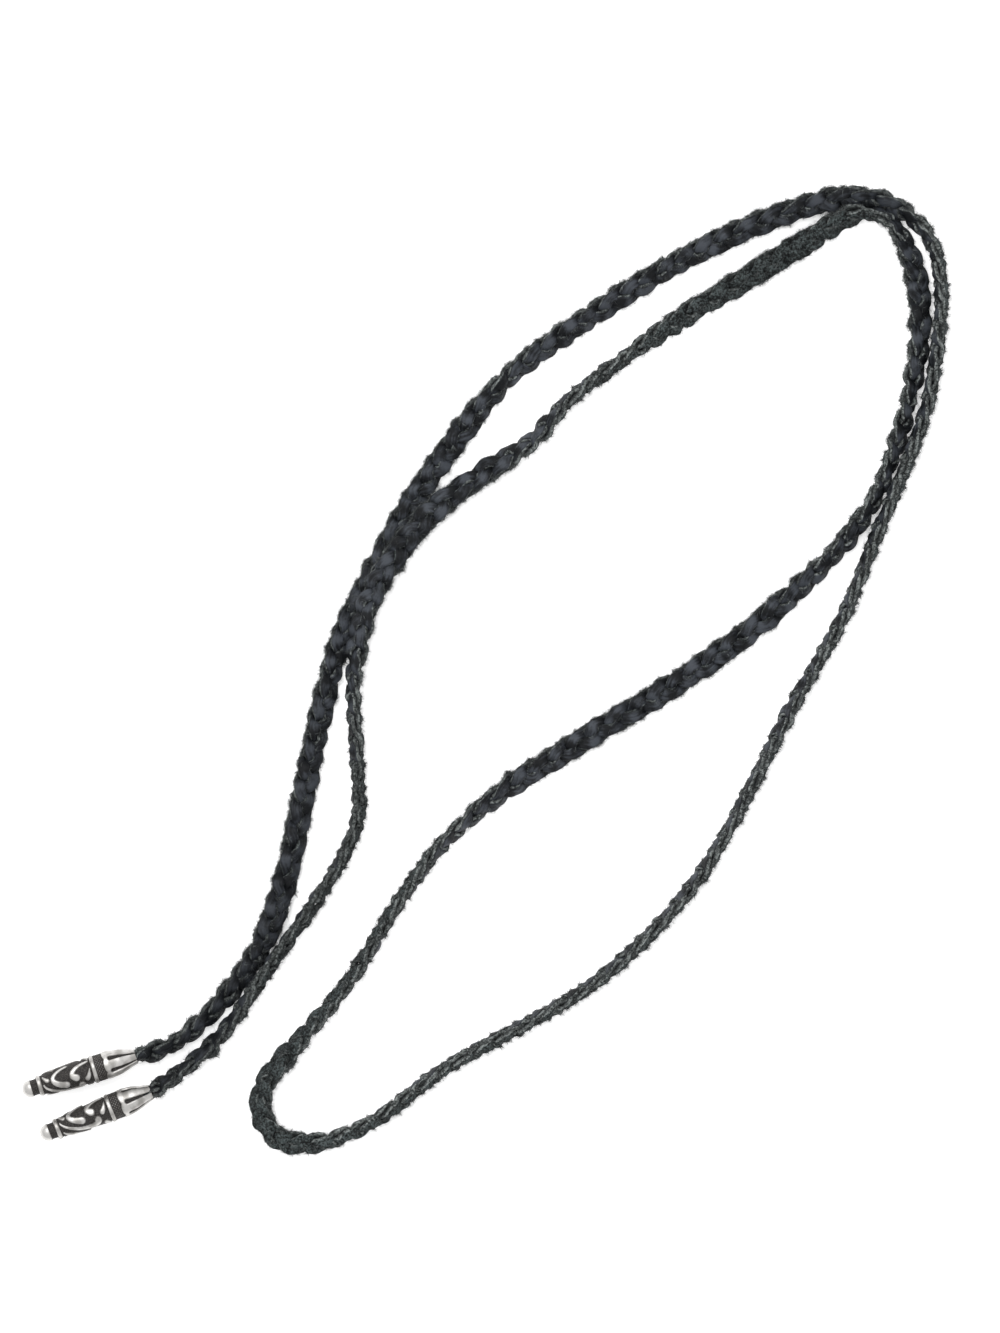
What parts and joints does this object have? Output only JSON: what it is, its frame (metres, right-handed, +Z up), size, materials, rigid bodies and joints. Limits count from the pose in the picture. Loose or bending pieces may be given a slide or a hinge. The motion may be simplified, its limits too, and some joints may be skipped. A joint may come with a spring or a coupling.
{
  "type": "braided leather necklace",
  "caption": "Open necklace of a flat black leather braid with a cast silver tip on each end, raised scrollwork on the tips, laid down in nested loops.",
  "frame": {"origin": "on the surface that the necklace lies on, under the middle of its bounding box", "axes": "+Z up from the surface, +Y along the long way of the laid loops, towards the two nested bends"},
  "size_m": [0.1851, 0.1932, 0.0062],
  "materials": {
    "black_leather": "dyed black, smooth grain side and fuzzy flesh side",
    "oxidised_silver": "polished high parts, blackened recesses"
  },
  "bodies": {
    "root": {"leather_lace_a_outer": "black_leather", "leather_lace_a_inner": "black_leather", "leather_lace_b_outer": "black_leather", "leather_lace_b_inner": "black_leather", "leather_lace_c_outer": "black_leather", "leather_lace_c_inner": "black_leather", "silver_tip_upper": "oxidised_silver", "silver_tip_lower": "oxidised_silver"}
  },
  "joints": []
}
